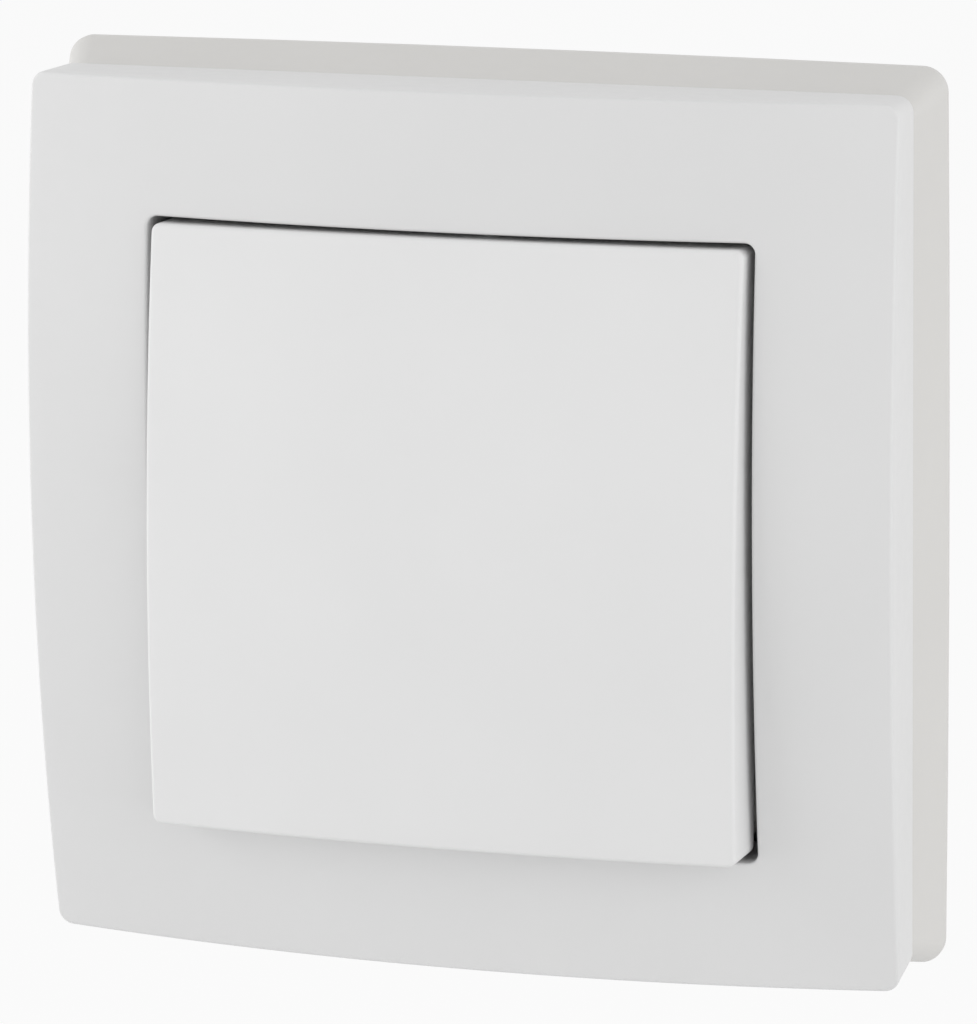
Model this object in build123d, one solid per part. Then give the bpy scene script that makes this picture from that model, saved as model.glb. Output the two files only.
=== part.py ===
from build123d import *
from math import atan2, cos, degrees, radians, sin, sqrt
import os

# One-gang rocker wall switch: domed cover frame on a deeper back frame, one large rocker
# that stands tilted, and the insert that it works: support ring, moulded base and cover,
# a sprung plunger, a seesaw contact and three plug-in terminals.
# All sizes are in mm. Every piece is worked lying on its back: x runs right, y runs up and
# z is the height in front of the wall. stand_up turns it upright at the end, so that the
# front looks along -Y and the wall is the plane y = 0.

# Back frame, between the wall and the cover frame
BACK_FLARE = 1.95
BACK_STEP = 0.33
BACK_BOW = 0.22
BACK_DEPTH = 7.0
BACK_LIP = 0.7
BACK_CORNER = 2.3
BACK_WALL = 2.4
WEB_THICK = 2.0
WEB_OPENING_EDGE = 2.5
WEB_OPENING_CUT = 6.0
RIB_THICK = 1.4

# Cover frame: its front is a shallow sphere cut by nearly upright sides
FRAME_HALF_BACK = 39.63
FRAME_FLARE = 0.65
FRAME_CORNER = 1.4
DOME_RADIUS = 235.0
FRAME_DOME_TOP = 19.96
FRAME_SHELL = 2.2
FRAME_EDGE = 0.4
OPENING_HALF = 27.9
OPENING_CORNER = 0.95
OPENING_EDGE = 0.2
COLLAR_WALL = 1.6
COLLAR_END = 9.8

# Rocker, drawn level and then tilted to its rest position
ROCKER_SIDE_GAP = 0.70
ROCKER_END_GAP = 0.65
ROCKER_DOME_TOP = 22.72
ROCKER_CORNER = 0.8
ROCKER_EDGE = 0.4
ROCKER_SHELL = 1.9
ROCKER_SKIRT_END = 13.4
REST_TILT = 4.05
PIVOT_HEIGHT = 15.7

# Support ring, a pressed steel plate with slots for the wall box's screws
RING_HALF = 35.5
RING_CORNER = 3.0
RING_THICK = 1.0
RING_WINDOW_EDGE = 2.5
RING_PLAY = 0.3
SCREW_PITCH = 60.0
SLOT_HALF_WIDTH = 1.8
SLOT_LENGTH = 7.0
SLEEVE_WALL = 1.2

# Insert base, cover plate, rivets
BASE_HALF = 21.5
BASE_CUT = 5.0
BASE_EDGE = 1.0
BASE_BACK = -20.0
FLOOR_THICK = 3.0
BASE_WALL = 3.0
COVER_LAP = 0.5
COVER_THICK = 2.0
COVER_WINDOW_X = 6.0
COVER_WINDOW_Y = 7.0
RIVET_Y = 14.0
RIVET_RADIUS = 0.95
RIVET_PLAY = 0.05
RIVET_HEAD = 1.6
RIVET_HEAD_THICK = 0.6
RIVET_REACH = 8.0

# Yoke that the rocker clips on, its axle and its stops
YOKE_HALF_X = 9.0
YOKE_HALF_Y = 5.0
YOKE_BOTTOM = 13.5
YOKE_TOP = 20.0
WING_HALF_X = 8.0
WING_HALF_Y = 13.0
WING_THICK = 1.6
STOP_LEG = 1.4
STOP_PAD_HEIGHT = 1.0
STOP_GAP = 0.03
AXLE_RADIUS = 1.5
AXLE_PLAY = 0.05
POST_IN = 9.3
POST_OUT = 12.5
POST_HALF_Y = 3.6
POST_WALL = 1.1
TUBE_RADIUS = 3.3
TUBE_BORE = 2.2
TUBE_END = 5.2

# Plunger, its spring and the seesaw contact
PLUNGER_RADIUS = 2.12
PLUNGER_TIP = 1.4
PLUNGER_TIP_END = 0.3
PLUNGER_TOP = 8.6
SPRING_WIRE = 0.4
SPRING_RADIUS = 1.5
SPRING_TURNS = 5.5
SPRING_SIDES = 10
PLUNGER_TRAVEL = 0.6
SEESAW_PIVOT = -1.2
SEESAW_TILT = 8.0
SEESAW_THICK = 0.8
SEESAW_WIDTH = 5.0
SEESAW_HALF = 10.8
SADDLE_RADIUS = 1.5
PIN_RADIUS = 0.8
PIN_PLAY = 0.05
CONTACT_AT = 9.0
CONTACT_RADIUS = 1.5
CONTACT_HEAD = 0.7
CONTACT_DOME = 8.0
CONTACT_GAP = 0.1

# Terminal pockets, bars, clamp springs and release buttons
POCKET_IN = 8.0
POCKET_HALF_Y = 4.8
POCKET_PITCH_Y = 8.2
CHAMBER_HALF_X = 5.0
CHAMBER_HALF_Y = 13.4
BAR_THICK = 0.8
BAR_HALF_Y = 3.6
BAR_LEG_END = -15.5
WELL_FLOOR = -9.5
STRIP_HALF_Y = 2.0
CLAMP_THICK = 0.4
CLAMP_WIDTH = 6.4
CLAMP_BEND = 1.1
CLAMP_TONGUE = 5.2
WIRE_RADIUS = 1.3
WIRE_PITCH = 4.2
WIRE_AT = 15.3
BUTTON_AT = 12.5
BUTTON_X = 1.5
BUTTON_Y = 5.0
BUTTON_FLANGE = 2.2
BUTTON_PROUD = 1.6
BUTTON_TRAVEL = 1.0
SLIDE_PLAY = 0.1

# Catches that hold the cover frame on the ring
CATCH_Y = 15.0
CATCH_WIDTH = 6.0
CATCH_THICK = 0.5

# Sizes that follow from the ones above
BACK_HALF_FRONT = FRAME_HALF_BACK - BACK_STEP
BACK_HALF_WALL = BACK_HALF_FRONT + BACK_FLARE
ROCKER_HALF_WIDE = OPENING_HALF - ROCKER_SIDE_GAP
ROCKER_HALF_HIGH = OPENING_HALF - ROCKER_END_GAP
COVER_HALF = BASE_HALF + COVER_LAP
POCKET_OUT = BASE_HALF - BASE_WALL
RIVET_X = BASE_HALF - BASE_WALL / 2
RING_WINDOW_HALF = RIVET_X - RING_WINDOW_EDGE
WEB_OPENING_HALF = (SCREW_PITCH - SLOT_LENGTH) / 2 - WEB_OPENING_EDGE

# Heights that follow from the sizes above
RING_FRONT = BACK_DEPTH
RING_BACK = RING_FRONT - RING_THICK
COVER_FRONT = RING_FRONT + COVER_THICK
POCKET_FLOOR = BASE_BACK + FLOOR_THICK
WING_BACK = YOKE_TOP - WING_THICK
STOP_PAD_TOP = COVER_FRONT + STOP_PAD_HEIGHT


def stand_up(shape):
    return Plane.XZ.location * shape


def grouped(pieces):
    """Separate solids that share one node."""
    return pieces[0] + pieces[1:]


def block(x0, x1, y0, y1, z0, z1):
    middle = Pos((x0 + x1) / 2, (y0 + y1) / 2, (z0 + z1) / 2)
    return middle * Box(abs(x1 - x0), abs(y1 - y0), abs(z1 - z0))


def rounded_square(half, radius, bow=0.0):
    if bow == 0:
        return RectangleRounded(2 * half, 2 * half, radius)
    side = half - bow
    edges = [
        ThreePointArc((-side, side), (0, half), (side, side)),
        ThreePointArc((side, side), (half, 0), (side, -side)),
        ThreePointArc((side, -side), (0, -half), (-side, -side)),
        ThreePointArc((-side, -side), (-half, 0), (-side, side)),
    ]
    outline = make_face(edges)
    return fillet(outline.vertices(), radius)


def square_prism(half, radius, z0, z1):
    return Pos(0, 0, z0) * extrude(RectangleRounded(2 * half, 2 * half, radius), z1 - z0)


def clipped_prism(half, cut, z0, z1):
    """A square block whose four upright corners are cut off at 45 degrees."""
    near = half - cut
    points = []
    for sx, sy in ((1, 1), (-1, 1), (-1, -1), (1, -1)):
        pair = [(sx * half, sy * near), (sx * near, sy * half)]
        points += pair if sx * sy > 0 else pair[::-1]
    outline = make_face(Polyline(*points, close=True))
    return Pos(0, 0, z0) * extrude(outline, z1 - z0)


def dome(top, radius):
    return Pos(0, 0, top - radius) * Rot(90, 0, 0) * Sphere(radius)


def rotate_about(shape, height, angle):
    return Pos(0, 0, height) * Rot(angle, 0, 0) * Pos(0, 0, -height) * shape


def tilted(shape):
    return rotate_about(shape, PIVOT_HEIGHT, -REST_TILT)


def seesaw_set(shape):
    return rotate_about(shape, SEESAW_PIVOT, SEESAW_TILT)


def slot(x, y, along_x, half_width, length, z0, z1):
    turn = 0 if along_x else 90
    outline = SlotOverall(length, 2 * half_width, rotation=turn)
    return Pos(x, y, z0) * extrude(outline, z1 - z0)


def screw_places():
    reach = SCREW_PITCH / 2
    return [(reach, 0, True), (-reach, 0, True), (0, reach, False), (0, -reach, False)]


def rivet_places():
    return [(RIVET_X, RIVET_Y), (-RIVET_X, -RIVET_Y)]


def back_shell():
    flank = loft([
        Pos(0, 0, BACK_LIP) * rounded_square(BACK_HALF_WALL, BACK_CORNER, BACK_BOW),
        Pos(0, 0, BACK_DEPTH) * rounded_square(BACK_HALF_FRONT, BACK_CORNER, BACK_BOW),
    ], ruled=True)
    lip = extrude(rounded_square(BACK_HALF_WALL, BACK_CORNER, BACK_BOW), BACK_LIP)
    return lip + flank


def back_frame():
    shell = back_shell()
    inside = BACK_HALF_FRONT - BACK_WALL
    web_back = RING_BACK - WEB_THICK
    shell -= square_prism(inside, BACK_CORNER - 1, 0, web_back)
    shell -= square_prism(RING_HALF + RING_PLAY, RING_CORNER, RING_BACK, BACK_DEPTH)
    ribs = []
    for at in (-WEB_OPENING_HALF + 4, 0, WEB_OPENING_HALF - 4):
        ribs.append(block(at - RIB_THICK / 2, at + RIB_THICK / 2, -inside, inside, 0.5, web_back))
        ribs.append(block(-inside, inside, at - RIB_THICK / 2, at + RIB_THICK / 2, 0.5, web_back))
    shell += ribs
    for x, y, along_x in screw_places():
        long_half = SLOT_LENGTH / 2 + SLEEVE_WALL
        short_half = SLOT_HALF_WIDTH + SLEEVE_WALL
        dx, dy = (long_half, short_half) if along_x else (short_half, long_half)
        shell += block(x - dx, x + dx, y - dy, y + dy, 0, RING_BACK)
    shell -= clipped_prism(WEB_OPENING_HALF, WEB_OPENING_CUT, -1, BACK_DEPTH + 1)
    for x, y, along_x in screw_places():
        shell -= slot(x, y, along_x, SLOT_HALF_WIDTH, SLOT_LENGTH, -1, BACK_DEPTH + 1)
    return shell


def frame_sides(z0, z1):
    """The cover frame's sides: flat, leaning out a little to the front, soft at the corners."""
    draft = degrees(atan2(FRAME_FLARE, z1 - z0))
    foot = Rectangle(2 * FRAME_HALF_BACK, 2 * FRAME_HALF_BACK)
    body = Pos(0, 0, z0) * extrude(foot, z1 - z0, taper=-draft)
    middle = (z0 + z1) / 2
    corners = body.edges().filter_by(lambda e: abs(e.center().Z - middle) < (z1 - z0) / 4)
    return fillet(corners, FRAME_CORNER)


def top_rim(body, lowest, reach):
    """Edges around the outside of the domed front."""
    def on_rim(edge):
        c = edge.center()
        return c.Z > lowest and max(abs(c.X), abs(c.Y)) > reach
    return body.edges().filter_by(on_rim)


def cover_frame():
    full = FRAME_DOME_TOP + 2
    sides = frame_sides(BACK_DEPTH, full)
    body = sides & dome(FRAME_DOME_TOP, DOME_RADIUS)
    body = chamfer(top_rim(body, BACK_DEPTH + 1, FRAME_HALF_BACK - 1), FRAME_EDGE)
    inner = square_prism(FRAME_HALF_BACK - FRAME_SHELL, 1.2, BACK_DEPTH - 1, full)
    inner = inner & dome(FRAME_DOME_TOP - FRAME_SHELL, DOME_RADIUS - FRAME_SHELL)
    collar = square_prism(OPENING_HALF + COLLAR_WALL, 2.0, COLLAR_END, full)
    body -= inner - collar
    body -= square_prism(OPENING_HALF, OPENING_CORNER, BACK_DEPTH - 1, full)

    def on_opening(edge):
        c = edge.center()
        near = max(abs(c.X), abs(c.Y)) < OPENING_HALF + 0.1
        return near and c.Z > COLLAR_END + 1 and edge.geom_type != GeomType.LINE
    return chamfer(body.edges().filter_by(on_opening), OPENING_EDGE)


def frame_catches():
    """Four sprung steel hooks on the ring; each grips behind the collar of the cover frame."""
    foot_in = COVER_HALF + 0.3
    out = OPENING_HALF + 0.5
    knee = OPENING_HALF - 1.9
    lead = OPENING_HALF - 0.1
    path = [
        (foot_in, RING_FRONT), (knee, RING_FRONT), (knee + 0.6, COLLAR_END - 1.2),
        (out, COLLAR_END - 0.5), (out, COLLAR_END - 0.1), (lead, COLLAR_END - 0.05),
        (knee + 0.4, COLLAR_END + 1.6), (knee - 0.1, COLLAR_END + 1.6),
        (knee + 1.1, COLLAR_END - 0.3), (knee + 0.1, COLLAR_END - 0.9),
        (knee - 0.45, RING_FRONT + CATCH_THICK), (foot_in, RING_FRONT + CATCH_THICK),
    ]
    profile = make_face(Plane.XZ * Polyline(*path, close=True))
    hook = Pos(0, CATCH_WIDTH / 2, 0) * extrude(profile, CATCH_WIDTH)
    hooks = []
    for side in (1, -1):
        for y in (CATCH_Y, -CATCH_Y):
            piece = hook if side > 0 else mirror(hook, Plane.YZ)
            hooks.append(Pos(0, y, 0) * piece)
    return grouped(hooks)


def support_ring():
    plate = square_prism(RING_HALF, RING_CORNER, RING_BACK, RING_FRONT)
    window = 2 * RING_WINDOW_HALF
    plate -= Pos(0, 0, RING_FRONT) * Box(window, window, 3 * RING_THICK)
    for x, y, along_x in screw_places():
        plate -= slot(x, y, along_x, SLOT_HALF_WIDTH, SLOT_LENGTH, RING_BACK - 1, RING_FRONT + 1)
    for x, y in rivet_places():
        plate -= Pos(x, y, RING_FRONT) * Cylinder(RIVET_RADIUS + RIVET_PLAY, 4)
    return plate


def wire_places(side, y):
    return [(side * WIRE_AT, y + step * WIRE_PITCH / 2) for step in (-1, 1)]


def terminal_places():
    """Side (+1 right, -1 left) and height of the three terminals."""
    return [(1, 0.0), (-1, POCKET_PITCH_Y), (-1, -POCKET_PITCH_Y)]


def insert_base():
    body = clipped_prism(BASE_HALF, BASE_CUT, BASE_BACK, RING_BACK)
    back_edges = body.edges().filter_by(lambda e: e.center().Z < BASE_BACK + 0.1)
    body = chamfer(back_edges, BASE_EDGE)
    plate_floor = fixed_plate_top() - BAR_THICK
    top = RING_BACK + 1
    body -= block(-CHAMBER_HALF_X, CHAMBER_HALF_X, -CHAMBER_HALF_Y, CHAMBER_HALF_Y, plate_floor, top)
    body -= block(-CHAMBER_HALF_X, CHAMBER_HALF_X, -3, 3, WELL_FLOOR, top)
    body -= block(0, POCKET_IN + 1, -STRIP_HALF_Y - 0.1, STRIP_HALF_Y + 0.1, WELL_FLOOR, top)
    for side, y in terminal_places():
        body -= block(side * POCKET_IN, side * POCKET_OUT, y - POCKET_HALF_Y, y + POCKET_HALF_Y,
                      POCKET_FLOOR, top)
        if side < 0:
            body -= block(-POCKET_IN - 1, 0, y - STRIP_HALF_Y - 0.1, y + STRIP_HALF_Y + 0.1,
                          plate_floor, top)
        body -= Pos(side * BUTTON_AT, y, BASE_BACK) * Box(
            BUTTON_X + 2 * SLIDE_PLAY, BUTTON_Y + 2 * SLIDE_PLAY, 4 * FLOOR_THICK)
        for x, wy in wire_places(side, y):
            body -= Pos(x, wy, BASE_BACK) * Cylinder(WIRE_RADIUS, 4 * FLOOR_THICK)
    for x, y in rivet_places():
        body -= Pos(x, y, RING_BACK) * Cylinder(RIVET_RADIUS + RIVET_PLAY, 2 * RIVET_REACH)
    return body


def stop_pad_y():
    return WING_HALF_Y - STOP_LEG, WING_HALF_Y


def bearing_post(side):
    top = PIVOT_HEIGHT + AXLE_RADIUS + POST_WALL
    post = block(side * POST_IN, side * POST_OUT, -POST_HALF_Y, POST_HALF_Y, RING_FRONT + 1, top)
    bore = Rot(0, 90, 0) * Cylinder(AXLE_RADIUS + AXLE_PLAY, 3 * POST_OUT)
    return post - Pos(0, 0, PIVOT_HEIGHT) * bore


def insert_cover():
    plate = clipped_prism(COVER_HALF, BASE_CUT, RING_FRONT, COVER_FRONT)
    rim = plate.edges().filter_by(lambda e: e.center().Z > COVER_FRONT - 0.1)
    plate = chamfer(rim, 0.5)
    plug = RING_WINDOW_HALF - 0.15
    plate += block(-plug, plug, -plug, plug, RING_BACK, RING_FRONT + 0.2)
    for side in (1, -1):
        plate += bearing_post(side)
        low, high = stop_pad_y()
        plate += block(-6, 6, side * (low - 0.6), side * (high + 0.6), RING_FRONT + 1, STOP_PAD_TOP)
    plate -= block(-COVER_WINDOW_X, COVER_WINDOW_X, -COVER_WINDOW_Y, COVER_WINDOW_Y,
                   RING_BACK - 1, COVER_FRONT + 1)
    for x, y in rivet_places():
        plate -= Pos(x, y, COVER_FRONT) * Cylinder(RIVET_RADIUS + RIVET_PLAY, 8)
    return plate


def rivet():
    shank_low = RING_BACK - RIVET_REACH + 0.5
    length = COVER_FRONT - shank_low
    shank = Pos(0, 0, shank_low + length / 2) * Cylinder(RIVET_RADIUS, length)
    head = Pos(0, 0, COVER_FRONT + RIVET_HEAD_THICK / 2) * Cylinder(RIVET_HEAD, RIVET_HEAD_THICK)
    return shank + head


def ring_rivets():
    return grouped([Pos(x, y, 0) * rivet() for x, y in rivet_places()])


def rocker():
    sides = extrude(RectangleRounded(2 * ROCKER_HALF_WIDE, 2 * ROCKER_HALF_HIGH, ROCKER_CORNER), 30)
    face = dome(ROCKER_DOME_TOP, DOME_RADIUS)
    body = Pos(0, 0, ROCKER_SKIRT_END) * sides & face
    body = chamfer(top_rim(body, ROCKER_SKIRT_END + 3, ROCKER_HALF_WIDE - 1), ROCKER_EDGE)
    inner = extrude(Rectangle(2 * (ROCKER_HALF_WIDE - ROCKER_SHELL),
                              2 * (ROCKER_HALF_HIGH - ROCKER_SHELL)), 30)
    inner = Pos(0, 0, ROCKER_SKIRT_END - 1) * inner
    inner = inner & dome(ROCKER_DOME_TOP - ROCKER_SHELL, DOME_RADIUS - ROCKER_SHELL)
    body -= inner
    roof = ROCKER_DOME_TOP - ROCKER_SHELL + 0.6
    for side in (1, -1):
        for x in (-5.5, 5.5):
            body += rocker_hook(x, side, roof)
            body += rocker_rib(x, side, roof)
    return body


def rocker_hook(x, side, roof):
    """A snap arm under the rocker; its barb grips behind the yoke's wing."""
    near = WING_HALF_Y + 0.05
    far = near + 1.3
    tip = WING_BACK - 0.05
    arm = block(x - 2, x + 2, side * near, side * far, tip - 1.6, roof)
    barb_face = make_face(Plane.YZ * Polyline(
        (side * (near - 0.6), tip), (side * (near + 0.1), tip),
        (side * (near + 0.1), tip - 1.5), (side * near, tip - 1.5), close=True))
    barb = Pos(x - 2, 0, 0) * extrude(barb_face, 4, dir=(1, 0, 0))
    return arm + barb


def rocker_rib(x, side, roof):
    """A rib from the snap arm out to the skirt, which keeps the face stiff."""
    start = WING_HALF_Y + 1.2
    end = ROCKER_HALF_HIGH - ROCKER_SHELL + 0.2
    return block(x - 0.5, x + 0.5, side * start, side * end, YOKE_TOP - 2.2, roof - 1.2)


def stop_leg_end():
    """Height of a stop leg's end when level, so that at rest it meets its pad."""
    tilt = radians(REST_TILT)
    drop = STOP_PAD_TOP + STOP_GAP - PIVOT_HEIGHT + WING_HALF_Y * sin(tilt)
    return PIVOT_HEIGHT + drop / cos(tilt)


def rocker_yoke():
    body = block(-YOKE_HALF_X, YOKE_HALF_X, -YOKE_HALF_Y, YOKE_HALF_Y, YOKE_BOTTOM, YOKE_TOP)
    body += block(-WING_HALF_X, WING_HALF_X, -WING_HALF_Y, WING_HALF_Y, WING_BACK, YOKE_TOP)
    leg_end = stop_leg_end()
    for side in (1, -1):
        low, high = stop_pad_y()
        body += block(-2.5, 2.5, side * low, side * high, leg_end, WING_BACK + 0.2)
    axle_half = POST_OUT - 0.2
    body += Pos(0, 0, PIVOT_HEIGHT) * Rot(0, 90, 0) * Cylinder(AXLE_RADIUS, 2 * axle_half)
    tube_top = YOKE_BOTTOM + 1
    body += Pos(0, 0, (TUBE_END + tube_top) / 2) * Cylinder(TUBE_RADIUS, tube_top - TUBE_END)
    bore_top = PIVOT_HEIGHT + 1.5
    bore = Pos(0, 0, (TUBE_END - 1 + bore_top) / 2) * Cylinder(TUBE_BORE, bore_top - TUBE_END + 1)
    return body - bore


def spring_seat():
    return PIVOT_HEIGHT + 1.5


def plunger():
    """A pin that slides in the yoke's tube; its slimmer, tapered tip works the seesaw."""
    shoulder = TUBE_END + 0.8
    taper = PLUNGER_TIP_END + PLUNGER_TIP / 2
    half = [
        (0, PLUNGER_TIP_END), (PLUNGER_TIP / 2, PLUNGER_TIP_END), (PLUNGER_TIP, taper),
        (PLUNGER_TIP, shoulder), (PLUNGER_RADIUS, shoulder),
        (PLUNGER_RADIUS, PLUNGER_TOP), (0, PLUNGER_TOP),
    ]
    return revolve(make_face(Plane.XZ * Polyline(*half, close=True)), Axis.Z)


def plunger_spring():
    """A coil between the plunger and the yoke; it stops short by the plunger's travel."""
    low = PLUNGER_TOP + PLUNGER_TRAVEL + SPRING_WIRE / 2 + 0.05
    high = spring_seat() - SPRING_WIRE / 2 - 0.02
    steps = round(SPRING_TURNS * SPRING_SIDES)
    points = []
    for i in range(steps + 1):
        turn = radians(360 * i / SPRING_SIDES)
        height = low + (high - low) * i / steps
        points.append((SPRING_RADIUS * cos(turn), SPRING_RADIUS * sin(turn), height))
    path = Polyline(*points)
    start = Plane(origin=path @ 0, z_dir=path % 0, x_dir=(1, 0, 0))
    section = start * Rectangle(SPRING_WIRE, SPRING_WIRE)
    return sweep(section, path=path, transition=Transition.RIGHT)


def seesaw():
    """Contact lever: a strip with a saddle that rides on the round head of its post."""
    strip_low = SEESAW_PIVOT + 0.4
    strip = block(-SEESAW_WIDTH / 2, SEESAW_WIDTH / 2, -SEESAW_HALF, SEESAW_HALF,
                  strip_low, strip_low + SEESAW_THICK)
    axis = Pos(0, 0, SEESAW_PIVOT) * Rot(0, 90, 0)
    saddle = axis * Cylinder(SADDLE_RADIUS, SEESAW_WIDTH)
    saddle -= block(-5, 5, -5, 5, SEESAW_PIVOT - 5, SEESAW_PIVOT)
    saddle &= block(-5, 5, -5, 5, SEESAW_PIVOT, strip_low + SEESAW_THICK)
    body = strip + saddle
    body -= axis * Cylinder(PIN_RADIUS + PIN_PLAY, 2 * SEESAW_WIDTH)
    return seesaw_set(body)


def contact_apex():
    """Height of a moving contact's crown in the seesaw's own level position."""
    return SEESAW_PIVOT + 0.4 - CONTACT_HEAD - crown_rise()


def crown_rise():
    return CONTACT_DOME - sqrt(CONTACT_DOME ** 2 - CONTACT_RADIUS ** 2)


def contact_button(seat):
    """A silver contact, welded on at its seat, whose crowned face looks along -z."""
    head = Pos(0, 0, seat - (CONTACT_HEAD + crown_rise()) / 2) * Cylinder(
        CONTACT_RADIUS, CONTACT_HEAD + crown_rise())
    crown = Pos(0, 0, seat - CONTACT_HEAD - crown_rise() + CONTACT_DOME) * Sphere(CONTACT_DOME)
    return head & crown


def moving_contacts():
    seat = SEESAW_PIVOT + 0.4
    pair = [Pos(0, side * CONTACT_AT, 0) * contact_button(seat) for side in (1, -1)]
    return grouped([seesaw_set(piece) for piece in pair])


def fixed_contact_place():
    """Reach and height of a fixed contact's flat face, which a closed crown all but touches."""
    turn = radians(SEESAW_TILT)
    reach = -CONTACT_AT
    rise = contact_apex() + CONTACT_DOME - SEESAW_PIVOT
    y = reach * cos(turn) - rise * sin(turn)
    z = SEESAW_PIVOT + reach * sin(turn) + rise * cos(turn)
    return -y, z - CONTACT_DOME - CONTACT_GAP


def fixed_plate_top():
    y, face = fixed_contact_place()
    return face - CONTACT_HEAD


def fixed_contact(side):
    y, face = fixed_contact_place()
    return Pos(0, side * y, face - CONTACT_HEAD / 2) * Cylinder(CONTACT_RADIUS, CONTACT_HEAD)


def terminal_bar(side, y, start, top):
    """A bent strip: flat from the switch chamber into the pocket, then down its outer wall."""
    wall = POCKET_OUT - 0.1
    flat = block(start, side * wall, y - STRIP_HALF_Y, y + STRIP_HALF_Y, top - BAR_THICK, top)
    leg = block(side * (wall - BAR_THICK), side * wall, y - BAR_HALF_Y, y + BAR_HALF_Y,
                BAR_LEG_END, top)
    return flat + leg


def common_terminal():
    top = WELL_FLOOR + BAR_THICK
    bar = terminal_bar(1, 0, -2.0, top)
    neck = block(-2, 2, -0.4, 0.4, WELL_FLOOR, SEESAW_PIVOT)
    pin = Pos(0, 0, SEESAW_PIVOT) * Rot(0, 90, 0) * Cylinder(PIN_RADIUS, 4.6)
    return bar + neck + pin


def throw_terminal(side):
    y, face = fixed_contact_place()
    top = fixed_plate_top()
    bar = terminal_bar(-1, side * POCKET_PITCH_Y, -POCKET_IN, top)
    plate = block(-POCKET_IN - 1, 2.5, side * (y - 2.2), side * (y + 2.2), top - BAR_THICK, top)
    low = min(y - 2.2, POCKET_PITCH_Y - STRIP_HALF_Y)
    bridge = block(-POCKET_IN + 3.4, -POCKET_IN + 3, side * low, side * (y + 2.2),
                   top - BAR_THICK, top)
    plate &= block(-POCKET_IN + 3, 5, -20, 20, -20, 20)
    strip = block(-POCKET_IN - 1, 0, side * (POCKET_PITCH_Y - STRIP_HALF_Y),
                  side * (POCKET_PITCH_Y + STRIP_HALF_Y), top - BAR_THICK, top)
    return bar + plate + bridge + strip


def strip_back(side):
    """Height of the back of the strip that crosses a terminal's pocket."""
    return WELL_FLOOR if side > 0 else fixed_plate_top() - BAR_THICK


def clamp_leg():
    return POCKET_IN + 0.1 + CLAMP_THICK / 2


def clamp_low():
    """Height where a clamp spring's bend begins, just clear of the pocket's floor."""
    return POCKET_FLOOR + 0.6 + CLAMP_BEND + CLAMP_THICK / 2


def clamp_spring(side, y):
    """A bent leaf: leg on the inner wall, bend at the back, tongue up against the bar."""
    half = CLAMP_THICK / 2
    leg_x = clamp_leg()
    middle = leg_x + CLAMP_BEND
    low = clamp_low()
    tip_x = POCKET_OUT - 0.1 - BAR_THICK - half - 0.15
    outside, inside = [], []
    for i in range(5):
        turn = radians(180 + 45 * i)
        for run, reach in ((outside, CLAMP_BEND + half), (inside, CLAMP_BEND - half)):
            run.append((middle + reach * cos(turn), low + reach * sin(turn)))
    leg_top = strip_back(side) - 0.4
    tip_z = low + CLAMP_TONGUE
    outline = [(leg_x - half, leg_top)] + outside + [(tip_x + half, tip_z)]
    outline += [(tip_x - half, tip_z)] + inside[::-1] + [(leg_x + half, leg_top)]
    band = make_face(Plane.XZ * Polyline(*outline, close=True))
    spring = Pos(0, CLAMP_WIDTH / 2, 0) * extrude(band, CLAMP_WIDTH)
    if side < 0:
        spring = mirror(spring, Plane.YZ)
    return Pos(0, y, 0) * spring


def button_top():
    """The button's inner end stays clear of the tongue over its whole travel."""
    tongue_x = clamp_leg() + 2 * CLAMP_BEND
    run = POCKET_OUT - 0.1 - BAR_THICK - CLAMP_THICK / 2 - 0.15 - tongue_x
    rise = (BUTTON_AT - BUTTON_X / 2 - tongue_x) / run * CLAMP_TONGUE
    return clamp_low() + rise - CLAMP_THICK * 0.75 - BUTTON_TRAVEL - 0.1


def release_button(side, y):
    low = BASE_BACK - BUTTON_PROUD
    shaft = Pos(0, 0, (low + button_top()) / 2) * Box(BUTTON_X, BUTTON_Y, button_top() - low)
    flange = Pos(0, 0, POCKET_FLOOR + 0.35) * Box(BUTTON_FLANGE, BUTTON_Y + 1.6, 0.6)
    return Pos(side * BUTTON_AT, y, 0) * (shaft + flange)


def all_pieces():
    pieces = {
        "back_frame": back_frame(),
        "cover_frame": cover_frame(),
        "frame_catches": frame_catches(),
        "support_ring": support_ring(),
        "ring_rivets": ring_rivets(),
        "insert_base": insert_base(),
        "insert_cover": insert_cover(),
        "rocker": tilted(rocker()),
        "rocker_yoke": tilted(rocker_yoke()),
        "plunger": tilted(plunger()),
        "plunger_spring": tilted(plunger_spring()),
        "contact_lever": seesaw(),
        "moving_contacts": moving_contacts(),
        "common_terminal": common_terminal(),
    }
    for name, side in (("upper", 1), ("lower", -1)):
        pieces["throw_terminal_" + name] = throw_terminal(side)
        pieces["fixed_contact_" + name] = fixed_contact(side)
    for name, place in zip(("common", "upper", "lower"), terminal_places()):
        pieces["clamp_spring_" + name] = clamp_spring(*place)
        pieces["release_button_" + name] = release_button(*place)
    return pieces


os.makedirs("parts", exist_ok=True)
for node, shape in all_pieces().items():
    export_step(stand_up(shape), "parts/" + node + ".step")
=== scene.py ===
import bpy
import bmesh
from math import cos, radians, sin, sqrt
from mathutils import Matrix, Vector


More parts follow.
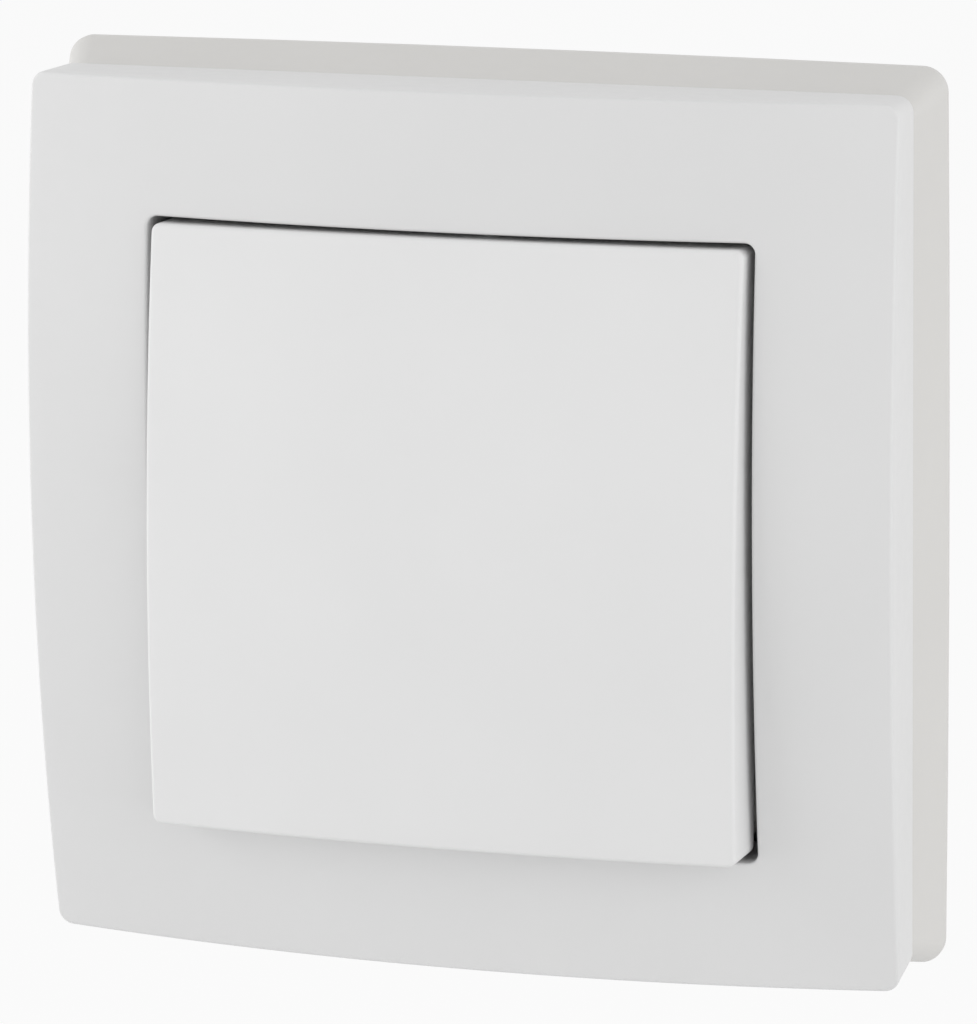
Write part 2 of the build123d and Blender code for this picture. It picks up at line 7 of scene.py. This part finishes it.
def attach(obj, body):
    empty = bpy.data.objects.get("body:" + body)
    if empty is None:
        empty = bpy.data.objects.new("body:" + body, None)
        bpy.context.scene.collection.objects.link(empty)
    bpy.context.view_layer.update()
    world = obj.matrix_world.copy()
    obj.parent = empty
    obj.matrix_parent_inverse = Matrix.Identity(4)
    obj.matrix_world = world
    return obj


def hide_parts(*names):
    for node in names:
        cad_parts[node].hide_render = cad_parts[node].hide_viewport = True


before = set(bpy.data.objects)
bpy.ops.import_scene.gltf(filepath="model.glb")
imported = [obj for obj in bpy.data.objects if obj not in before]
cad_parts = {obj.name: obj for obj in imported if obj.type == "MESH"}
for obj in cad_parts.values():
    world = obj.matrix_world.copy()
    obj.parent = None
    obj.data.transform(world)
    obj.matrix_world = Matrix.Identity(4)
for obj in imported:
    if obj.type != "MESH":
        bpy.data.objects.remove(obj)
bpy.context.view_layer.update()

MM = 0.001

# Sizes in mm, as in the CAD model: z here is the height in front of the wall.
BACK_DEPTH = 7.0
DOME_R = 235.0

# Cover frame: half widths, corner radii, heights
FRAME_BACK = 39.63
FRAME_FRONT = 40.28
FRAME_TALL = 21.96
FRAME_TOP = 19.96
FRAME_RIM = 0.3
SHELL = 2.2
CORNER_BACK = 1.5
CORNER_FRONT = 1.1
CORNER_LEAST = 0.3
FACE_CORNER = 0.65
BACK_EDGE = 0.12
OPENING = 27.9
OPENING_CORNER = 0.95
OPENING_LIP = 0.3
COLLAR = 1.6
COLLAR_CORNER = 2.0
COLLAR_END = 9.8
HOLLOW_CORNER = 1.6

# Heights in the cover frame where a loop lies or where its side is sampled
SIDE_GUESS = 15.0
RIDGE = 13.5
COLLAR_LOOPS = (15.0, 13.5, 12.0, 10.6, COLLAR_END)
HOLLOW_LOOP = 9.0

# Loops at shares of the way: up the collar, out along the inside, up the rocker's skirt
COLLAR_SHARES = (0.15, 0.575, 1.0)
INSIDE_SHARES = (0.33, 0.66, 1.0)
SKIRT_SHARES = (0.25, 0.5, 0.75)

# Rocker, drawn level and then tilted about its axle; face loops are inset and corner radius
ROCKER_X = 27.2
ROCKER_Y = 27.25
ROCKER_TOP = 22.72
ROCKER_RIM = 0.4
ROCKER_SHELL = 1.9
ROCKER_CORNER = 0.8
ROCKER_CORNER_LEAST = 0.35
ROCKER_FACE_LOOPS = ((1.2, 0.35), (2.2, 0.15), (3.6, 0.0))
ROOF_MARGIN = 3
ROOF_EDGE = 0.5
ROOF_CORNER = 0.4
INNER_CORNER = 0.5
SKIRT_END = 13.4
SKIRT_MIDDLE = 16.0
SKIRT_EDGE = 0.15
SKIRT_CORNER = 0.7
PIVOT = 15.7
TILT = radians(-4.05)

# Snap arms of the rocker and the ribs that hold them
WING_Y = 13.0
WING_BACK = 18.4
ARM_PLACES = (-5.5, 5.5)
ARM_HALF = 2
ARM_GAP = 0.05
ARM_THICK = 1.3
ARM_EDGE = 0.2
ARM_ROOT = 0.6
BARB_REACH = 0.6
BARB_TALL = 1.6
BARB_NOSE = 0.1
RIB_HALF = 0.5
RIB_END = 17.8
RIB_DROP = 1.2
RIB_SINK = 0.2

# Fineness of the two skins
SIDE_PASSES = 3
STRAIGHT_STEPS = 36
ARC_STEPS = 9
SIDE_STEPS = 9
FACE_STEPS = 16
RIM_STEPS = 8
LIP_STEPS = 6
SMOOTH_ANGLE = 35
WELD = 1e-7

# Textures: noise scales per metre, darkest and lightest share of a colour, how far roughness
# falls and rises, strength of the bumps and their height in metres
PLASTIC_TONE = 45.0
PLASTIC_GLOSS = 700.0
PLASTIC_GRAIN = 4200.0
PLASTIC_SHADES = (0.988, 1.012)
PLASTIC_SPREAD = (0.05, 0.05)
PLASTIC_RELIEF = 0.00004
COARSE = {"grain": 3000, "bump": 0.08}
METAL_TONE = 180.0
METAL_GRAIN = 900.0
METAL_SHADES = (0.92, 1.06)
METAL_SPREAD = (0.08, 0.1)
METAL_BUMP = 0.12
METAL_RELIEF = 0.00003

# Detail of each noise, and the middle part of its range that is used
TONE_DETAIL = 2.0
GLOSS_DETAIL = 4.0
GRAIN_DETAIL = 3.0
NOISE_LOW = 0.3
NOISE_HIGH = 0.7

# The fitted camera: angles in degrees, sensor in mm, distance and clipping in metres, the focal
# length, the picture's size and its centre in pixels of the photograph
CLIP_START = 0.01
CLIP_END = 50
PHOTO_WIDTH = 977
PHOTO_HEIGHT = 1024
SENSOR = 36.0
AZIMUTH = 17.70
ELEVATION = 13.92
ROLL = -0.89
DISTANCE = 0.55868
FOCAL_PIXELS = 6211.28
CENTRE_X = 484.12
CENTRE_Y = 513.63

# The studio: each lamp has a name, a direction, a width in metres and a power in watts
WORLD = 0.705
BACKGROUND = (0.965, 0.965, 0.965, 1)
LIGHT_REACH = 1.25
LIGHTS = [
    ("left_wide", (-0.95, -0.3, -0.1), 2.4, 22.0),
    ("right_wide", (0.9, -0.4, 0), 2.0, 11.0),
    ("rim_right", (0.95, 0.25, 0.2), 0.7, 0.8),
    ("rim_top", (0, 0.25, 0.95), 0.7, 0.2),
]
FLOOR_LEVEL = -0.28
FLOOR_HALF = 4.0
FLOOR_GLOW = 0.948
FLOOR_BOUNCE = (0.8, 0.8, 0.8, 1)
FLOOR_SHADE = (0.05, 0.05, 0.05, 1)


# Points, heights and loops

def between(low, high, share):
    """The value at a share of the way from low to high."""
    return low + (high - low) * share


def stand(x, y, z):
    """Lying on its back, in mm, to upright, in metres."""
    return Vector((x * MM, -z * MM, y * MM))


def stand_tilted(x, y, z):
    """The same for a point of the rocker, turned about its axle."""
    c, s = cos(TILT), sin(TILT)
    return stand(x, y * c - (z - PIVOT) * s, PIVOT + y * s + (z - PIVOT) * c)


def dome(top, radius=DOME_R, drop=0):
    """The height of a shallow sphere, or of one a little below it, as a function of x and y."""
    return lambda x, y: top - radius + sqrt(radius * radius - x * x - y * y) - drop


def partway(low, face, share):
    """The height at a share of the way from a level up to a face, as a function of x and y."""
    return lambda x, y: between(low, face(x, y), share)


def round_over(radius, steps):
    """Inset and drop of each loop of a rounded edge, from the side up to the face."""
    angles = [radians(90 * k / steps) for k in range(steps + 1)]
    return [(radius * (1 - cos(a)), radius * (1 - sin(a))) for a in angles]


def loop(half_x, half_y, corner):
    """Points round a rounded rectangle, the same count and order for any size."""
    points = []
    corner = max(corner, 0.0)
    signs = [(1, 1), (-1, 1), (-1, -1), (1, -1)]
    for k, (sx, sy) in enumerate(signs):
        for i in range(ARC_STEPS + 1):
            a = radians(90 * k + 90 * i / ARC_STEPS)
            points.append((sx * (half_x - corner) + corner * cos(a),
                           sy * (half_y - corner) + corner * sin(a)))
        after = (k + 1) % 4
        nx, ny = signs[after]
        end_x = nx * (half_x - corner) + corner * cos(radians(90 * after))
        end_y = ny * (half_y - corner) + corner * sin(radians(90 * after))
        x, y = points[-1]
        for i in range(1, STRAIGHT_STEPS):
            t = i / STRAIGHT_STEPS
            points.append((between(x, end_x, t), between(y, end_y, t)))
    return points


def ring(half_x, half_y, corner, height, place):
    """A loop in space; its height is a number or a function of x and y."""
    points = []
    for x, y in loop(half_x, half_y, corner):
        points.append(place(x, y, height(x, y) if callable(height) else height))
    return points


# Meshes

def skin(bm, loops, closed):
    """Quads between successive loops of 3-D points."""
    rows = [[bm.verts.new(p) for p in points] for points in loops]
    pairs = list(zip(rows, rows[1:]))
    if closed:
        pairs.append((rows[-1], rows[0]))
    for a, b in pairs:
        for i in range(len(a)):
            j = (i + 1) % len(a)
            bm.faces.new((a[i], a[j], b[j], b[i]))


def face_grid(bm, half_x, half_y, height):
    """The middle of a domed face as a grid whose edge meets a loop with no corner radius."""
    grid = []
    for j in range(STRAIGHT_STEPS + 1):
        row = []
        for i in range(STRAIGHT_STEPS + 1):
            x = -half_x + 2 * half_x * i / STRAIGHT_STEPS
            y = -half_y + 2 * half_y * j / STRAIGHT_STEPS
            row.append(bm.verts.new(stand_tilted(x, y, height(x, y))))
        grid.append(row)
    for low, high in zip(grid, grid[1:]):
        for i in range(STRAIGHT_STEPS):
            bm.faces.new((low[i], low[i + 1], high[i + 1], high[i]))


def add_prism(bm, x0, x1, profile):
    """A prism along x under the rocker's face; the profile is a list of (y, z), drawn level."""
    ends = [[bm.verts.new(stand_tilted(x, y, z)) for y, z in profile] for x in (x0, x1)]
    bm.faces.new(ends[0])
    bm.faces.new(ends[1][::-1])
    for i in range(len(profile)):
        j = (i + 1) % len(profile)
        bm.faces.new((ends[0][i], ends[0][j], ends[1][j], ends[1][i]))


def obj_from(name, bm):
    """A welded, smooth-shaded object from a finished bmesh."""
    bmesh.ops.remove_doubles(bm, verts=bm.verts, dist=WELD)
    bmesh.ops.recalc_face_normals(bm, faces=bm.faces)
    mesh = bpy.data.meshes.new(name)
    bm.to_mesh(mesh)
    bm.free()
    for p in mesh.polygons:
        p.use_smooth = True
    mesh.set_sharp_from_angle(angle=radians(SMOOTH_ANGLE))
    o = bpy.data.objects.new(name, mesh)
    bpy.context.scene.collection.objects.link(o)
    return o


# Cover frame

def side_half(z):
    """Half width and corner radius of the cover frame's outside at a height."""
    t = (z - BACK_DEPTH) / (FRAME_TALL - BACK_DEPTH)
    return between(FRAME_BACK, FRAME_FRONT, t), between(CORNER_BACK, CORNER_FRONT, t)


def square_basis():
    """Weights of half width and corner radius for each point of a loop."""
    sharp = loop(1, 1, 0)
    soft = loop(1, 1, 1)
    return [(a, (b[0] - a[0], b[1] - a[1])) for a, b in zip(sharp, soft)]


def side_ring(share, inset=0, drop=0):
    """A loop at a share of the side's local height, or on the rim above it."""
    front = dome(FRAME_TOP)
    points = []
    for (ax, ay), (bx, by) in square_basis():
        half, corner = side_half(SIDE_GUESS)
        for _ in range(SIDE_PASSES):
            x, y = half * ax + corner * bx, half * ay + corner * by
            z = between(BACK_DEPTH, front(x, y) - FRAME_RIM, share)
            half, corner = side_half(z)
            half, corner = half - inset, max(corner - inset, CORNER_LEAST)
        x, y = half * ax + corner * bx, half * ay + corner * by
        if share == 1:
            z = front(x, y) - drop
        points.append(stand(x, y, z))
    return points


def cover_frame():
    """The domed frame as one closed skin, from its back edge round to its back edge."""
    inside = dome(FRAME_TOP - SHELL, DOME_R - SHELL)
    collar = OPENING + COLLAR
    hollow = FRAME_BACK - SHELL
    ridge = side_half(RIDGE)[0] - FRAME_RIM - BACK_EDGE
    loops = []

    def at(half, corner, height):
        loops.append(ring(half, half, corner, height, stand))

    at(FRAME_BACK, CORNER_BACK, BACK_DEPTH + BACK_EDGE)
    for k in range(1, SIDE_STEPS):
        loops.append(side_ring(k / SIDE_STEPS))
    for inset, drop in round_over(FRAME_RIM, RIM_STEPS):
        loops.append(side_ring(1, inset, drop))
    for k in range(1, FACE_STEPS):
        t = k / FACE_STEPS
        corner = between(FACE_CORNER, OPENING_CORNER + OPENING_LIP, t)
        at(between(ridge, OPENING + OPENING_LIP, t), corner, dome(FRAME_TOP))
    for inset, drop in reversed(round_over(OPENING_LIP, LIP_STEPS)):
        at(OPENING + inset, OPENING_CORNER + inset, dome(FRAME_TOP, drop=drop))
    for z in COLLAR_LOOPS:
        at(OPENING, OPENING_CORNER, z)
    at(collar, COLLAR_CORNER, COLLAR_END)
    for share in COLLAR_SHARES:
        at(collar, COLLAR_CORNER, partway(COLLAR_END, inside, share))
    for share in INSIDE_SHARES:
        at(between(collar, hollow, share), HOLLOW_CORNER, inside)
    at(hollow, HOLLOW_CORNER, HOLLOW_LOOP)
    at(hollow, HOLLOW_CORNER, BACK_DEPTH)
    at(FRAME_BACK - BACK_EDGE, CORNER_BACK - BACK_EDGE, BACK_DEPTH)
    bm = bmesh.new()
    skin(bm, loops, closed=True)
    return obj_from("cover_frame_skin", bm)


# Rocker

def snap_arms(bm, root):
    """The four arms that clip behind the yoke's wings, each with a rib out to the skirt."""
    near = WING_Y + ARM_GAP
    far = near + ARM_THICK
    tip = WING_BACK - ARM_GAP
    end = tip - BARB_TALL
    skirt = ROCKER_Y - ROCKER_SHELL + RIB_SINK
    arm = [(near, root), (near, tip), (near - BARB_REACH, tip), (WING_Y, end + BARB_NOSE),
           (near + ARM_EDGE, end), (far - ARM_EDGE, end), (far, end + ARM_EDGE), (far, root)]
    rib = [(far - RIB_SINK, root - RIB_DROP), (far - RIB_SINK, RIB_END),
           (skirt, RIB_END), (skirt, root - RIB_DROP)]
    for side in (1, -1):
        for x in ARM_PLACES:
            add_prism(bm, x - ARM_HALF, x + ARM_HALF, [(side * y, z) for y, z in arm])
            add_prism(bm, x - RIB_HALF, x + RIB_HALF, [(side * y, z) for y, z in rib])


def rocker():
    """The rocker as one skin, from its roof down the inside, round the skirt and up to its face."""
    in_x, in_y = ROCKER_X - ROCKER_SHELL, ROCKER_Y - ROCKER_SHELL
    roof_top = ROCKER_TOP - ROCKER_SHELL
    roof_radius = DOME_R - ROCKER_SHELL
    roof = dome(roof_top, roof_radius)
    loops = []

    def at(half_x, half_y, corner, height):
        loops.append(ring(half_x, half_y, corner, height, stand_tilted))

    at(in_x - ROOF_MARGIN, in_y - ROOF_MARGIN, 0.0, roof)
    at(in_x - ROOF_EDGE, in_y - ROOF_EDGE, ROOF_CORNER, roof)
    at(in_x, in_y, INNER_CORNER, dome(roof_top, roof_radius, drop=ROOF_EDGE))
    at(in_x, in_y, INNER_CORNER, SKIRT_MIDDLE)
    at(in_x, in_y, INNER_CORNER, SKIRT_END)
    at(ROCKER_X - SKIRT_EDGE, ROCKER_Y - SKIRT_EDGE, SKIRT_CORNER, SKIRT_END)
    at(ROCKER_X, ROCKER_Y, ROCKER_CORNER, SKIRT_END + SKIRT_EDGE)
    below_rim = dome(ROCKER_TOP, drop=ROCKER_RIM)
    for share in SKIRT_SHARES:
        at(ROCKER_X, ROCKER_Y, ROCKER_CORNER, partway(SKIRT_END, below_rim, share))
    for inset, drop in round_over(ROCKER_RIM, RIM_STEPS):
        corner = max(ROCKER_CORNER - inset, ROCKER_CORNER_LEAST)
        at(ROCKER_X - inset, ROCKER_Y - inset, corner, dome(ROCKER_TOP, drop=drop))
    for inset, corner in ROCKER_FACE_LOOPS:
        at(ROCKER_X - inset, ROCKER_Y - inset, corner, dome(ROCKER_TOP))
    bm = bmesh.new()
    skin(bm, loops, closed=False)
    margin = ROCKER_FACE_LOOPS[-1][0]
    face_grid(bm, ROCKER_X - margin, ROCKER_Y - margin, dome(ROCKER_TOP))
    face_grid(bm, in_x - ROOF_MARGIN, in_y - ROOF_MARGIN, roof)
    snap_arms(bm, roof_top + ARM_ROOT)
    return obj_from("rocker_skin", bm)


# Node trees

def start_tree(owner, output):
    """The emptied node tree of a material or world, and its output node."""
    owner.use_nodes = True
    nt = owner.node_tree
    nt.nodes.clear()
    return nt, add_node(nt, output)


def add_node(nt, kind, values=None):
    """A shader node with some of its inputs set, by name or number."""
    n = nt.nodes.new("ShaderNode" + kind)
    for key, value in (values or {}).items():
        n.inputs[key].default_value = value
    return n


def noise(nt, coord, scale, detail, stretch=None):
    """Noise in the object's own space, stretched where a direction is given."""
    n = add_node(nt, "TexNoise", {"Scale": scale, "Detail": detail})
    source = coord.outputs["Object"]
    if stretch:
        mapping = add_node(nt, "Mapping", {"Scale": stretch})
        nt.links.new(source, mapping.inputs[0])
        source = mapping.outputs[0]
    nt.links.new(source, n.inputs["Vector"])
    return n.outputs[0]


def spread(nt, source, low, high):
    """The middle part of a noise, spread over a range."""
    r = add_node(nt, "MapRange", {"From Min": NOISE_LOW, "From Max": NOISE_HIGH,
                                  "To Min": low, "To Max": high})
    nt.links.new(source, r.inputs["Value"])
    return r.outputs[0]


def tone(nt, shader, source, colour, shades):
    """A base colour that drifts between a darker and a lighter shade along a noise."""
    darker, lighter = [(*(min(1, c * share) for c in colour), 1) for share in shades]
    ramp = add_node(nt, "MixRGB", {1: darker, 2: lighter})
    nt.links.new(spread(nt, source, 0.0, 1.0), ramp.inputs[0])
    nt.links.new(ramp.outputs[0], shader.inputs["Base Color"])


def gloss(nt, shader, source, rough, falls, rises):
    """A roughness that drifts below and above its middle along a noise."""
    value = spread(nt, source, rough - falls, rough + rises)
    nt.links.new(value, shader.inputs["Roughness"])


def relief(nt, shader, source, strength, distance):
    """Fine bumps of the surface along a noise."""
    bump = add_node(nt, "Bump", {"Strength": strength, "Distance": distance})
    nt.links.new(source, bump.inputs["Height"])
    nt.links.new(bump.outputs[0], shader.inputs["Normal"])


def new_material(name, values):
    """A material with one shader, and the coordinates that its textures use."""
    m = bpy.data.materials.new(name)
    nt, out = start_tree(m, "OutputMaterial")
    shader = add_node(nt, "BsdfPrincipled", values)
    nt.links.new(shader.outputs[0], out.inputs[0])
    return m, nt, shader, add_node(nt, "TexCoord")


# Materials

def moulded(name, colour, rough=0.45, grain=PLASTIC_GRAIN, bump=0.05):
    """Satin moulded plastic: eroded spark grain, slow drifts of gloss and tone."""
    m, nt, shader, coord = new_material(name, {"Specular IOR Level": 0.5, "IOR": 1.5})
    tone(nt, shader, noise(nt, coord, PLASTIC_TONE, TONE_DETAIL), colour, PLASTIC_SHADES)
    gloss(nt, shader, noise(nt, coord, PLASTIC_GLOSS, GLOSS_DETAIL), rough, *PLASTIC_SPREAD)
    relief(nt, shader, noise(nt, coord, grain, GRAIN_DETAIL), bump, PLASTIC_RELIEF)
    return m


def metal(name, colour, rough, stretch):
    """Rolled or plated metal: drawn grain in one direction, uneven gloss."""
    m, nt, shader, coord = new_material(name, {"Metallic": 1.0})
    tone(nt, shader, noise(nt, coord, METAL_TONE, TONE_DETAIL), colour, METAL_SHADES)
    grain = noise(nt, coord, METAL_GRAIN, GLOSS_DETAIL, stretch)
    gloss(nt, shader, grain, rough, *METAL_SPREAD)
    relief(nt, shader, grain, METAL_BUMP, METAL_RELIEF)
    return m


def dress(material, *nodes):
    """Give CAD nodes a material of the scene."""
    for node in nodes:
        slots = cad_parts[node].data.materials
        slots.clear()
        slots.append(material)


def dress_all():
    """Materials of all the CAD nodes that the scene keeps."""
    dress(moulded("back_plastic", (0.632, 0.623, 0.606)), "back_frame")
    dress(moulded("insert_plastic", (0.34, 0.35, 0.355), rough=0.5, **COARSE),
          "insert_base", "insert_cover")
    dress(moulded("yoke_plastic", (0.62, 0.62, 0.58), rough=0.4), "rocker_yoke", "plunger")
    dress(moulded("button_plastic", (0.10, 0.105, 0.11), **COARSE),
          "release_button_common", "release_button_upper", "release_button_lower")
    dress(metal("ring_steel", (0.56, 0.56, 0.54), 0.34, (1, 1, 12)),
          "support_ring", "ring_rivets")
    dress(metal("spring_steel", (0.50, 0.50, 0.52), 0.24, (10, 1, 1)),
          "frame_catches", "plunger_spring",
          "clamp_spring_common", "clamp_spring_upper", "clamp_spring_lower")
    dress(metal("contact_brass", (0.72, 0.53, 0.24), 0.28, (12, 1, 1)),
          "contact_lever", "common_terminal", "throw_terminal_upper", "throw_terminal_lower")
    dress(metal("contact_silver", (0.83, 0.82, 0.78), 0.3, (1, 1, 1)),
          "moving_contacts", "fixed_contact_upper", "fixed_contact_lower")


# Camera and surroundings

def camera():
    """The camera fitted to the photograph: 0.559 m away, from the right and above."""
    az, el, roll = radians(AZIMUTH), radians(ELEVATION), radians(ROLL)
    aim = Vector((0, -BACK_DEPTH * MM, 0))
    place = Vector((sin(az) * cos(el), -cos(az) * cos(el), sin(el))) * DISTANCE
    forward = (-place).normalized()
    level = forward.cross(Vector((0, 0, 1))).normalized()
    upright = level.cross(forward)
    right = level * cos(roll) + upright * sin(roll)
    up = -level * sin(roll) + upright * cos(roll)
    cam = bpy.data.cameras.new("camera")
    cam.sensor_width = SENSOR
    cam.sensor_fit = "AUTO"
    cam.lens = FOCAL_PIXELS * SENSOR / PHOTO_HEIGHT
    cam.shift_x = (PHOTO_WIDTH / 2 - CENTRE_X) / PHOTO_HEIGHT
    cam.shift_y = (CENTRE_Y - PHOTO_HEIGHT / 2) / PHOTO_HEIGHT
    cam.clip_start = CLIP_START
    cam.clip_end = CLIP_END
    o = bpy.data.objects.new("camera", cam)
    m = Matrix((right, up, -forward)).transposed().to_4x4()
    m.translation = aim + place
    o.matrix_world = m
    bpy.context.scene.collection.objects.link(o)
    bpy.context.scene.camera = o


def lamp(name, towards, width, power):
    """A square area lamp in one direction from the object, turned to face it."""
    light = bpy.data.lights.new(name, "AREA")
    light.shape = "RECTANGLE"
    light.size = width
    light.size_y = width
    light.energy = power
    place = Vector(towards).normalized() * LIGHT_REACH
    o = bpy.data.objects.new(name, light)
    o.location = place
    o.rotation_euler = (-place).to_track_quat("-Z", "Y").to_euler()
    bpy.context.scene.collection.objects.link(o)


def seen_or_mirrored(nt):
    """1 for rays from the camera, off gloss or through glass, else 0."""
    path = add_node(nt, "LightPath")
    total = path.outputs["Is Camera Ray"]
    for kind in ("Is Glossy Ray", "Is Transmission Ray"):
        add = add_node(nt, "Math")
        add.operation = "ADD"
        add.use_clamp = True
        nt.links.new(total, add.inputs[0])
        nt.links.new(path.outputs[kind], add.inputs[1])
        total = add.outputs[0]
    return total


def show_instead(nt, out, lit, shown):
    """One shader for the light on the object, another for what is seen or mirrored."""
    mix = add_node(nt, "MixShader")
    nt.links.new(seen_or_mirrored(nt), mix.inputs[0])
    nt.links.new(lit.outputs[0], mix.inputs[1])
    nt.links.new(shown.outputs[0], mix.inputs[2])
    nt.links.new(mix.outputs[0], out.inputs[0])


def studio():
    """Even light from all round, with a pale background."""
    world = bpy.data.worlds.new("studio")
    bpy.context.scene.world = world
    nt, out = start_tree(world, "OutputWorld")
    shown = add_node(nt, "Background", {"Color": BACKGROUND, "Strength": 1.0})
    lit = add_node(nt, "Background", {"Color": (1, 1, 1, 1), "Strength": WORLD})
    show_instead(nt, out, lit, shown)


def floor():
    """A pale floor that glows softly where it is seen and keeps the object's shadow."""
    material = bpy.data.materials.new("floor")
    nt, out = start_tree(material, "OutputMaterial")
    bounce = add_node(nt, "BsdfDiffuse", {"Color": FLOOR_BOUNCE})
    shade = add_node(nt, "BsdfDiffuse", {"Color": FLOOR_SHADE})
    glow = add_node(nt, "Emission", {"Color": BACKGROUND, "Strength": FLOOR_GLOW})
    seen = add_node(nt, "AddShader")
    nt.links.new(shade.outputs[0], seen.inputs[0])
    nt.links.new(glow.outputs[0], seen.inputs[1])
    show_instead(nt, out, bounce, seen)
    bm = bmesh.new()
    bmesh.ops.create_grid(bm, x_segments=2, y_segments=2, size=FLOOR_HALF)
    mesh = bpy.data.meshes.new("floor")
    bm.to_mesh(mesh)
    bm.free()
    mesh.materials.append(material)
    o = bpy.data.objects.new("floor", mesh)
    o.location = (0, 0, FLOOR_LEVEL)
    bpy.context.scene.collection.objects.link(o)


dress_all()
front = moulded("frame_plastic", (0.70, 0.70, 0.70))
# Painted light: the rocker is the same plastic as the frame, but its colour is made lighter (0.745
# against 0.70) so that its face looks brighter, as light makes it look
rocker_painted_lighter = moulded("rocker_plastic_painted_lighter", (0.745, 0.745, 0.745))
piece = cover_frame()
piece.data.materials.append(front)
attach(piece, "housing")
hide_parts("cover_frame")
piece = rocker()
piece.data.materials.append(rocker_painted_lighter)
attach(piece, "rocker")
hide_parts("rocker")
camera()
studio()
for name, towards, width, power in LIGHTS:
    lamp(name, towards, width, power)
floor()
bpy.context.scene.view_settings.view_transform = "Standard"
